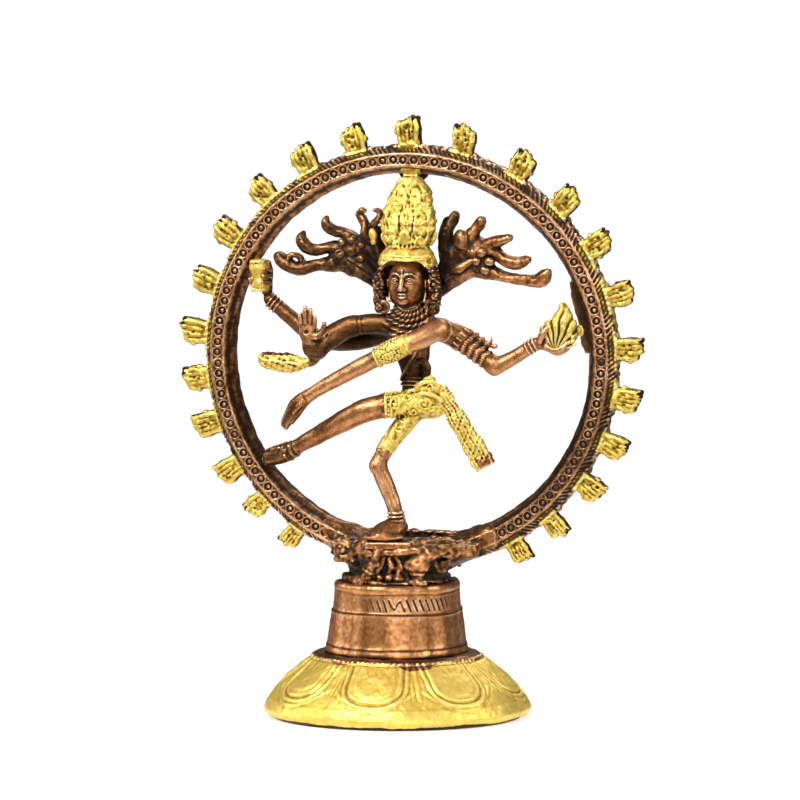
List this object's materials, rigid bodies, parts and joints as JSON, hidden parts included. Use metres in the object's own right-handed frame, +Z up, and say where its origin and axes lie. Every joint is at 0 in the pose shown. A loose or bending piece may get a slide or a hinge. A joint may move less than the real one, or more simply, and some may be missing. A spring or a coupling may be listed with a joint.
{
  "type": "dancing deity statuette",
  "caption": "Small cast brass dancing figure inside a ring of flames, on a round lotus pedestal, in antiqued copper and gold finish.",
  "frame": {"origin": "centre of the underside of the base pad, on the pedestal's axis", "axes": "+Z up; the figure faces -Y; +X to the right of a viewer in front of it, in the plane of the ring"},
  "size_m": [0.1195, 0.066, 0.1499],
  "materials": {
    "copper_patina": "cast brass with an antiqued copper plate, dark in the recesses and rubbed bright on the high spots",
    "gold_lacquer": "cast brass with bright gold lacquer brushed on by hand, dark in the cut lines",
    "plain_steel": "plain zinc-plated stud, washer and nut hidden inside the pedestal",
    "dark_felt": "thin dark felt disc glued into the foot"
  },
  "bodies": {
    "root": {"base_pad": "dark_felt", "lotus_foot": "gold_lacquer", "pedestal_drum": "copper_patina", "pedestal_cap": "copper_patina", "tie_stud": "plain_steel", "tie_washer": "plain_steel", "tie_nut": "plain_steel", "flame_ring": "copper_patina", "ring_rivets": "copper_patina", "ring_flames": "gold_lacquer", "dwarf": "copper_patina", "standing_leg": "copper_patina", "dhoti": "gold_lacquer", "raised_leg": "copper_patina", "sash_tail": "gold_lacquer", "waist_knot": "gold_lacquer", "torso": "copper_patina", "head": "copper_patina", "crown": "gold_lacquer", "crown_finial": "gold_lacquer", "earrings": "copper_patina", "hair_left": "copper_patina", "hair_right": "copper_patina", "front_right_arm": "copper_patina", "snake": "gold_lacquer", "rear_right_arm": "copper_patina", "hand_drum": "gold_lacquer", "front_left_upper_arm": "copper_patina", "front_left_armlet": "gold_lacquer", "front_left_forearm": "copper_patina", "rear_left_arm": "copper_patina", "hand_flame": "gold_lacquer", "ring_bracket": "copper_patina"}
  },
  "joints": []
}
